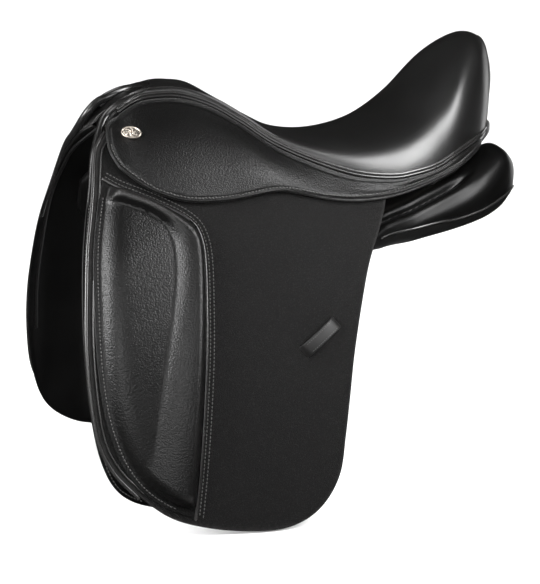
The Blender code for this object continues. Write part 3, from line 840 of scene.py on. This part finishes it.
def build_seat():
    us = np.linspace(0, SEAT_END, 169)
    angles = np.linspace(0, math.pi, 121)
    outer = seat_grid(us, angles, 0.0, 0.0)
    inner = seat_grid(us, angles, COVER_THICK, COVER_THICK)
    cover = make("seat_cover_leather", [(*shell(outer, inner), SEAT_LEATHER)], "saddle",
                 replaces=("seat_cover",))
    gap = COVER_THICK + 0.5
    deep = COVER_THICK + FOAM_THICK
    us = np.linspace(*FOAM_ROWS, 70)
    angles = np.linspace(0, math.pi, 61)
    padding = shell(seat_grid(us, angles, gap, gap), seat_grid(us, angles, deep, deep))
    foam = make("seat_padding", [(*padding, FOAM_CLOTH)], "saddle", replaces=("seat_foam",))

    top = SEAT[-1]
    half = top[1] - gap
    height = top[4] - gap - top[2]
    outline = np.stack([half * squared(np.cos(angles), SEAT_POWER),
                        top[2] + 0.6 + height * np.clip(np.sin(angles), 0, 1) ** SEAT_POWER], 1)

    def back(y, z, d):
        t = (z - top[2]) / height
        edge = mix(top[0], top[3], t) - 1.0
        wide = half * (1 - np.clip(t, 0.0, 1.0) ** 2.3) ** 0.43
        bow = np.clip(1 - (y / np.maximum(wide, 1.0)) ** 2, 0, 1)
        x = edge + 15.0 * np.sqrt(bow) * np.sin(math.pi * np.minimum(1.0, 0.06 + 0.84 * t))
        return np.stack([x + d, y, z], 1)

    rear = make("cantle_back_leather", [(*sheet(outline, back, 0.0, -COVER_THICK, 4.0), SEAT_LEATHER)],
                "saddle", replaces=("cantle_back",))

    rim = seat_grid([SEAT_END], np.linspace(0.0, math.pi, 120), 0.5, 0.9)[0]
    make("cantle_welt", [(*tube(rim, 1.3), WELT_LEATHER)], "saddle")

    for side, tag in SIDES:
        upper = tube(seam(180, -0.3, 1.7), 1.8)
        lower = tube(seam(180, 0.3, 4.9, 0.0, 13.6), 1.4)
        lining = sweep(seam(180, -3.4, 3.0), rounded(1.6, 15, 0.7), (0, 0, 1))
        make("seat_welt_%s_leather" % tag, [(*part, WELT_LEATHER) for part in (upper, lower, lining)],
             "saddle", side, ("seat_welt_" + tag,))

    half_path = curve([(112, 105, 71), (140, 96, 81), (165, 77, 93), (190, 53, 106.5), (208, 36, 117),
                       (218, 14, 118), (219, 0, 118.3)], 40)
    strip = sweep(both_sides(half_path), rounded(11, 16, 5.0, 5), (0, 0, 1))
    make("cantle_strip_leather", [(*strip, SKIRT_LEATHER)], "saddle",
         replaces=("cantle_strip",))


# ---- skirts

def build_skirts():
    upper = seam(90, 0.0, SKIRT_DROP, 0.0, 13.0)[:, [0, 2]]
    low = curve([(x, z) for x, _, z in SKIRT_LOW], 150)
    front = curve(SKIRT_FRONT, 24)
    outline = np.concatenate([upper, low[::-1], front[::-1][:-1]])
    line = offset_line(np.concatenate([front, low]), SKIRT_STITCH_INSET)
    relief = [(1.5, 0.9), (2.3, 0.2), (3.1, -0.1), (3.7, -0.45), (4.3, -0.6), (4.9, -0.45), (5.8, 0.1),
              (7.2, 0.3), (9.5, 0.0)]
    for side, tag in SIDES:
        body = sheet(outline, on_skirt, 0.0, -SKIRT_THICK, 2.8, 1.5, relief, fit=True)
        rows = stitches(*laid_on(body, line[14:-4], on_skirt), r=0.6)
        skirt = make("skirt_leather_" + tag, [(*body, SKIRT_LEATHER), (*rows, THREAD_PAINTED_GLINT)], None, side,
                     ("skirt_" + tag, "skirt_head_" + tag, "skirt_rear_" + tag))
        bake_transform(skirt)
        build_nail(side, tag)


def build_nail(side, tag):
    centre, out, across, rise = spot(on_skirt, *NAIL, 1.0, (0.80, 0.0, -0.60))
    if rise[2] < 0:
        rise = -rise
    sides = 48
    a = 2 * math.pi * np.arange(sides) / sides
    # the rim, as (share of the nail's size, height)
    profile = [(1.0, 0.0), (1.02, 1.2), (0.99, 2.0), (0.93, 2.35), (0.87, 2.1), (NAIL_DISH, 1.5)]
    rings = []
    for grow, level in profile:
        rings.append(centre + np.outer(np.cos(a), across) * NAIL_LONG * grow
                     + np.outer(np.sin(a), rise) * (NAIL_HIGH - NAIL_LONG * (1 - grow)) + out * level)
    # the dished face, with seven swirled leaves
    inner = 12
    for k in range(1, inner + 1):
        s = NAIL_DISH * (1 - k / (inner + 0.6))
        u = np.cos(a) * s
        v = np.sin(a) * s
        leaf = np.sin(7 * np.arctan2(v, u) + 9 * np.hypot(u, v)) * np.sin(5.5 * math.pi * np.hypot(u, v))
        level = 1.55 + 0.55 * leaf * ease((NAIL_DISH - s) / 0.15) + 0.5 * (1 - s * s)
        rings.append(centre + np.outer(u, across) * NAIL_LONG + np.outer(v, rise) * NAIL_HIGH
                     + np.outer(level, out))
    points = np.concatenate(rings)
    faces = strips(len(rings), sides, closed=True) + caps(len(rings), sides)
    make("name_nail_" + tag, [(points, faces, PEWTER)], "saddle", side, ("nail_" + tag,))


# ---- flaps

def block_height(x, z):
    """How far the knee block stands off the flap: a roll along its rear and top, and a softer pad."""
    rear = curve(BLOCK_REAR, 60)
    valley = curve(BLOCK_VALLEY, 60)
    seam_line = curve(BLOCK_SEAM, 60)
    b = line_distance(rear, x, z)
    v = line_distance(valley, x, z)
    f = line_distance(seam_line, x, z)
    roll_side = inside(np.concatenate([rear, valley[::-1]]), x, z)
    s = b / np.maximum(b + v, 1e-6)
    crest = mix(0.24, 0.60, ease((z - 12) / 36))
    up = np.sin(0.5 * math.pi * np.clip(s / crest, 0, 1)) ** 0.6
    down = 1 - np.clip((s - crest) / (1 - crest), 0, 1) ** 2.1
    roll = np.where(s < crest, BLOCK_ROLL * up, mix(BLOCK_VALLEY_FLOOR, BLOCK_ROLL, down))
    pad = mix(BLOCK_VALLEY_FLOOR, BLOCK_FLOOR, np.clip(v / 62.0, 0, 1) ** 0.9)
    h = np.where(roll_side, roll, pad)
    shoulder = 1 - (1 - np.clip((f - BLOCK_FLANGE) / 34.0, 0, 1)) ** 3.4
    corner = np.sin(0.5 * math.pi * np.clip((f - BLOCK_FLANGE) / 13.0, 0, 1))
    rise = np.where(roll_side, corner, shoulder)
    rise = mix(rise, corner, np.clip(1 - v / 6.0, 0, 1))
    return 1.2 + h * rise


def build_flaps():
    lower = curve(FLAP_FRONT + FLAP_REST, 260)
    outline = np.concatenate([lower, np.array(FLAP_TOP, float)])
    front_line = curve(FLAP_FRONT, 160)
    front_line = front_line[front_line[:, 1] < 126]
    rear_line = curve(BLOCK_REAR, 160)
    block = np.concatenate([curve(BLOCK_REAR, 120), curve(BLOCK_FRONT, 90)])
    for side, tag in SIDES:
        leather_sheet = sheet(outline, on_side, 0.0, -FLAP_THICK, 6.0, 0.8)
        flap = make("flap_leather_" + tag, [(*leather_sheet, FLAP_LEATHER)], None, side,
                    ("flap_" + tag, "flap_head_" + tag))
        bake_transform(flap)

        welt = bead(offset_line(front_line, -1.6), on_side, -FLAP_THICK / 2 + 0.6, 2.1)
        inner_bead = bead(offset_line(front_line, 5.2), on_side, 0.5, 0.95)
        trim = make("flap_welt_%s_leather" % tag, [(*part, WELT_LEATHER) for part in (welt, inner_bead)],
                    None, side, ("flap_welt_" + tag,))
        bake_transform(trim)

        pad = sheet(block, on_side, lambda x, z: 0.4 + block_height(x, z), 0.3, 2.2, 0.8)
        line = offset_line(curve(BLOCK_SEAM, 200), 4.6)
        front_stitches = stitch_row(line[8:-10], on_side, 1.7, long=2.4, r=0.5)
        cushion = make("knee_block_leather_" + tag, [(*pad, BLOCK_LEATHER), (*front_stitches, THREAD_PAINTED_GLINT)], None,
                       side, ("knee_block_" + tag,))
        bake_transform(cushion)

        cord = bead(offset_line(rear_line, 1.5), on_side, 1.6, 1.9)
        rows = [stitch_row(offset_line(rear_line, inset), on_side, 0.0, r=0.5) for inset in (5.4, 9.4)]
        piping = make("block_piping_%s_leather" % tag,
                      [(*cord, WELT_LEATHER)] + [(*row, THREAD_PAINTED_GLINT) for row in rows], None,
                      side, ("block_piping_" + tag,))
        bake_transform(piping)
        build_keeper(side, tag)


def build_keeper(side, tag):
    centre, out, run, rise = spot(on_side, *KEEPER, 0.5, (0.77, 0.0, 0.64))
    arc = curve([(-23, -1.0), (-21.5, 2.0), (-18, 5.2), (-11, 7.2), (0, 7.8), (11, 7.2), (18, 5.2),
                 (21.5, 2.0), (23, -1.0)], 50)
    path = centre + np.outer(arc[:, 0], run) + np.outer(arc[:, 1], out)
    band = sweep(path, rounded(2.8, 14, 1.2, 4), rise)
    middle = path[8:-8]
    normal = np.cross(np.gradient(middle, axis=0), rise)
    normal = unit(normal * np.sign(normal @ out)[:, None])
    rows = []
    for lean in (-4.6, 4.6):
        line = middle + rise * lean + normal * 1.2
        rows.append((*stitches(line, normal, pitch=2.6, long=1.9, r=0.3), THREAD_PAINTED_GLINT))
    make("keeper_leather_" + tag, [(*band, EDGE_LEATHER)] + rows, "flap_" + tag, side,
         ("keeper_" + tag,))


# ---- underside

def build_under():
    outline = np.concatenate([curve(SWEAT_FRONT + SWEAT_REST, 240), np.array(SWEAT_TOP, float)])
    front = curve(SWEAT_FRONT, 200)
    for side, tag in SIDES:
        flap = sheet(outline, on_sweat_flap, 0.0, -SWEAT_THICK, 6.0, 1.2,
                     [(2.4, -0.15), (3.2, -0.3), (4.0, 0.0)])
        row = stitch_row(offset_line(front, 3.2), on_sweat_flap, 0.1, r=0.5)
        make("sweat_flap_leather_" + tag, [(*flap, PANEL_LEATHER), (*row, THREAD_PAINTED_GLINT)], "saddle", side,
             ("sweat_flap_" + tag,))

        pocket = sheet(POCKET, on_side, -10.2, -12.6, 4.0, 0.8)
        make("point_pocket_leather_" + tag, [(*pocket, EDGE_LEATHER)], "saddle", side,
             ("point_pocket_" + tag,))
        web = sheet(GIRTH_WEB, on_side, STRAP_D + STRAP_THICK - 0.5, STRAP_D + 0.5, 5.0, 0.8)
        make("girth_web_linen_" + tag, [(*web, LINEN)], "saddle", side, ("girth_web_" + tag,))
        for where, x in STRAPS:
            build_strap(side, tag, where, x)
        build_panel(side, tag)


def build_strap(side, tag, where, x):
    zs = np.linspace(STRAP_TOP - 1, STRAP_LOW + 2, 120)
    taper = np.clip((zs - min(zs) + 2.0) / 16.0, 0, 1)
    half = STRAP_WIDTH / 2 * (np.sqrt(taper) * 0.55 + 0.45 * taper)
    across = np.linspace(-1, 1, 13)
    round_off = 0.7 * np.abs(across) ** 8
    high, under = [], []
    for z, h in zip(zs, half):
        p = on_side(x, z, STRAP_D + STRAP_THICK)
        q = on_side(x, z, STRAP_D)
        sideways = np.outer(h * across, [1, 0, 0])
        inset = np.outer(round_off, unit(p - q))
        high.append(p + sideways - inset)
        under.append(q + sideways + inset)
    parts = [(*shell(np.array(high), np.array(under)), EDGE_LEATHER)]
    for lean in (-1, 1):
        line = np.array([(x + lean * 9.8, z) for z in np.linspace(STRAP_TOP - 6, STRAP_LOW + 22, 200)])
        parts.append((*stitch_row(line, on_side, STRAP_D + STRAP_THICK, r=0.35), THREAD_PAINTED_GLINT))
    for k in range(STRAP_HOLES):
        parts.append((*punch(x, STRAP_LOW + 24 + 22 * k), WELT_LEATHER))
    name = "girth_strap_%s_%s" % (tag, where)
    make("girth_strap_leather_%s_%s" % (tag, where), parts, name, side, (name,))


def punch(x, z):
    """A punched buckle hole: a dark dished ring pressed into the strap."""
    centre, out, across, rise = spot(on_side, x, z, STRAP_D + STRAP_THICK + 0.1, (1.0, 0, 0))
    sides = 16
    a = 2 * math.pi * np.arange(sides) / sides
    rings = []
    for r, level in ((3.4, -0.3), (3.1, 0.15), (2.7, 0.2), (2.4, -0.3), (2.2, -0.9)):
        rings.append(centre + np.outer(np.cos(a), across) * r + np.outer(np.sin(a), rise) * r + out * level)
    return np.concatenate(rings), strips(len(rings), sides, closed=True) + caps(len(rings), sides)


def panel_rows(count):
    rows = []
    for x, zc, a, b in PANEL_FRONT:
        p = on_side(x, zc, -PANEL_SINK - b)
        q = on_side(x, zc - 10, -PANEL_SINK - b)
        rows.append((x, p[1], p[2], a, b, math.atan2(p[2] - q[2], q[1] - p[1])))
    for x, cy, cz, a, b, deg in PANEL_REAR:
        rows.append((x, cy, cz, a, b, math.radians(deg)))
    return curve(rows, count)


def panel_ring(row, t, grow):
    x, cy, cz, a, b, slope = row
    c, s = math.cos(slope), math.sin(slope)
    p = (a + grow) * squared(np.cos(t), PANEL_POWER)
    q = (b + grow) * squared(np.sin(t), PANEL_POWER)
    return np.stack([np.full_like(p, x), cy + p * c + q * s, cz - p * s + q * c], -1)


def panel_folds(x, degrees):
    """Swell of the panel's leather: the gusset's crease and the roll above it."""
    crease = np.interp(x, [60, 136, 170], [50, 69, 76])
    strength = ease((x - 42) / 14) * ease((172 - x) / 40)
    dip = -4.6 * np.exp(-((degrees - crease) / 5.0) ** 2)
    roll = 3.2 * np.exp(-((degrees - crease - 15) / 8.0) ** 2)
    belly = 1.6 * np.exp(-((degrees - crease + 17) / 11.0) ** 2)
    return strength * (dip + roll + belly)


def welt_angle(x):
    """Where round the panel's ring the sewn edge of its ground-side leather runs."""
    return np.interp(x, [60, 84, 100, 131, 150, 170, 189, 211, 226],
                     [9, 6.5, 3.5, -1, -4.5, -8.5, -10.5, -14, -17])


def build_panel(side, tag):
    rows = panel_rows(220)
    sides = 180
    degrees = 360.0 * np.arange(sides) / sides
    turn = (degrees + 180) % 360 - 180
    rings = []
    for row in rows:
        grow = 2.4 * ease((row[0] - 40) / 14) * ease((236 - row[0]) / 14)
        rings.append(panel_ring(row, np.radians(degrees), grow + panel_folds(row[0], turn)))
    upper, ground = [], []
    for face in strips(len(rows), sides, closed=True):
        row, at = divmod(face[0], sides)
        low = rows[row][0] > 40 and -172 < turn[at] < welt_angle(rows[row][0])
        (ground if low else upper).append(face)
    upper += caps(len(rows), sides)
    panel = make("panel_leather_" + tag, [(np.concatenate(rings), upper + ground, PANEL_LEATHER)], "saddle",
                 side, ("panel_" + tag, "rear_gusset_" + tag))
    panel.data.materials.append(GROUND_LEATHER)
    for polygon in panel.data.polygons[len(upper):]:
        polygon.material_index = 1
    line = [panel_ring(row, np.radians([welt_angle(row[0])]), 2.9)[0]
            for row in rows if 48 < row[0] < 228]
    make("panel_welt_" + tag, [(*tube(np.array(line), 1.3), WELT_LEATHER)], "saddle", side)


def front_of(z):
    """X of the sweat flap's front edge at a height."""
    edge = sorted((z, x) for x, z in SWEAT_FRONT)
    return np.interp(z, *zip(*edge))


def build_facing():
    """The roll over the pommel's front edge, the leather behind it, and the panel's facing edge."""
    half_path = []
    for z in (20, 50, 80, 104, 124):
        near_top = ease((z - 70) / 40)
        half_path.append(tuple(on_side(front_of(z) + 2.5 - 1.5 * near_top, z, -10.5 + 3.0 * near_top)))
    half_path.append((-231, 44.5, 138.0))
    arch = seat_grid([0.0], np.linspace(0.0, math.pi / 2, 9), 3.6, 4.2)[0] - [2.0, 0, 0]
    half_path += [tuple(p) for p in arch]
    path = evenly(curve(both_sides(half_path), 400), 2.0)
    size = mix(0.45, 1.0, ease((path[:, 2] - 30) / 90.0))
    size = np.concatenate([size[:1] * 0.6, size[1:-1], size[-1:] * 0.6])
    roll = sweep(path, circle(4.6, 18), (1, 0, 0), size)

    angles = np.linspace(0.0, math.pi, 61)
    top = seat_grid([0.0], angles, 1.0, 1.6)[0] - [0.6, 0, 0]
    lower = both_sides(curve([(-236, 50, 119), (-226, 38, 127), (-219, 31, 137), (-209, 19, 146),
                              (-201, 8, 151.5), (-199, 0, 153)], 31))
    front = np.array([mix(top, lower, t) - [3.0 * math.sin(math.pi * t), 0, 0]
                      for t in np.linspace(0, 1, 15)])
    cover = shell(front, front + [2.4, 0, -0.6])
    hem = tube(lower + [-1.2, 0, -0.6], 1.3, (1, 0, 0), 10)

    inner_half = []
    for z in (-118, -60, 0, 50, 90, 114):
        x = front_of(z) + mix(9.0, 2.0, ease((z + 20) / 120))
        behind = sweat_d(x) - SWEAT_THICK - mix(0.6, 5.0, ease((z - 40) / 60))
        inner_half.append(tuple(on_side(x, z, behind)))
    inner_half += [(-222, 29, 123), (-209, 14, 138), (-204, 0, 143)]
    lining_edge = tube(curve(both_sides(inner_half), 300), 1.9, (1, 0, 0))
    parts = [(*roll, WELT_LEATHER), (*cover, SKIRT_LEATHER), (*hem, WELT_LEATHER),
             (*lining_edge, PANEL_LEATHER)]
    make("pommel_facing_leather", parts, "saddle", replaces=("pommel_facing",))


def build_webs():
    for side, tag in SIDES:
        long_web = curve([(-150, 12, 157), (-100, 16, 142), (-40, 24, 101), (40, 34, 84), (105, 34, 91),
                          (150, 28, 101)], 80)
        band = sweep(long_web, rounded(18, 1.6, 0.7), (0, 0, 1))
        make("long_web_linen_" + tag, [(*band, LINEN)], "saddle", side, ("long_web_" + tag,))
    band = sweep(curve([(50, -88, 78.5), (50, 88, 78.5)], 40), rounded(30, 1.6, 0.7), (0, 0, 1))
    make("cross_web_linen", [(*band, LINEN)], "saddle", OFF, ("cross_web",))


def dress_frame():
    """Finishes for the CAD parts that stay: tree, head plate, stirrup bars."""
    for name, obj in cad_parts.items():
        if obj.hide_render:
            continue
        finish = BEECH if name.startswith("tree") else STEEL
        if obj.material_slots:
            obj.material_slots[0].material = finish
        else:
            obj.data.materials.append(finish)


# ---- studio

def area(name, place, target, size, power, tall=None):
    """A lamp that faces its target; sizes in metres, power in watts."""
    data = bpy.data.lights.new(name, "AREA")
    data.energy = power
    data.size = size
    if tall:
        data.shape = "RECTANGLE"
        data.size_y = tall
    obj = add_object(name, data)
    obj.location = place
    obj.rotation_euler = (Vector(target) - Vector(place)).to_track_quat("-Z", "Y").to_euler()
    obj.visible_camera = False
    return obj


def direction(around, rise):
    """A unit vector at an angle round from -Y towards +X and an angle up, in degrees."""
    a, e = math.radians(around), math.radians(rise)
    return Vector((math.sin(a) * math.cos(e), -math.cos(a) * math.cos(e), math.sin(e)))


def softbox(name, around, rise, distance, wide, tall, power):
    return area(name, direction(around, rise) * distance, (0.0, 0.0, 0.03), wide, power, tall)


def build_camera():
    back = direction(*CAMERA_ANGLES)
    data = bpy.data.cameras.new("camera")
    data.lens = CAMERA_LENS
    data.sensor_width = 36
    camera = add_object("camera", data)
    camera.location = Vector(CAMERA_TARGET) + back * CAMERA_DISTANCE
    camera.rotation_euler = (-back).to_track_quat("-Z", "Y").to_euler()
    bpy.context.scene.camera = camera


def build_floor(floor):
    """One seamless floor that curves up into a backdrop on every side."""
    rings = [(r, 0.0) for r in (0.5, 1.5, 3.0)]
    rings += [(3.0 + 1.5 * math.sin(a), 1.5 - 1.5 * math.cos(a)) for a in np.radians(np.arange(10, 91, 10))]
    rings.append((4.5, 5.0))
    sides = 64
    turn = [2 * math.pi * k / sides for k in range(sides)]
    points = [(r * math.cos(a), r * math.sin(a), floor + z) for r, z in rings for a in turn]
    faces = strips(len(rings), sides, closed=True) + caps(len(rings), sides)[:1]
    mesh = bpy.data.meshes.new("floor")
    mesh.from_pydata(points, [], faces)
    mesh.polygons.foreach_set("use_smooth", [True] * len(faces))
    mesh.materials.append(paper("paper"))
    obj = add_object("floor", mesh)
    obj.visible_glossy = False


def build_studio():
    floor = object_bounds()[0][2] - 0.001
    build_camera()
    build_floor(floor)

    world = bpy.data.worlds.new("studio")
    bpy.context.scene.world = world
    world.use_nodes = True
    sky = world.node_tree.nodes["Background"]
    sky.inputs["Color"].default_value = (1, 1, 1, 1)
    sky.inputs["Strength"].default_value = 0.25
    world.cycles_visibility.glossy = False

    area("softbox_key", (0.23, -0.50, 0.34), (0.10, -0.11, 0.08), 0.22, 6.0, 0.60)
    softbox("softbox_front", -26, 12, 1.8, 1.0, 0.8, 8.5)
    softbox("softbox_left", -78, 20, 1.8, 0.9, 0.8, 32.0)
    softbox("softbox_right", 124, 5, 1.9, 0.8, 0.8, 3.0)
    softbox("softbox_rear", -88, 46, 1.8, 0.7, 0.5, 5.0)
    area("floor_bounce", (0.02, -0.02, floor + 0.004), (0.0, 0.0, 0.1), 0.30, 0.5)
    # lamps that keep the paper white, and that no leather mirrors
    for place in ((-2.2, 2.0, 2.2), (2.2, 2.0, 2.2), (0, -2.6, 2.6)):
        lamp = area("floor_wash", place, (0, 0.4, floor), 1.6, 60.0)
        lamp.visible_glossy = False
    bpy.context.scene.view_settings.view_transform = "Standard"


build_studio()
build_seat()
build_skirts()
build_flaps()
build_under()
build_facing()
build_webs()
dress_frame()
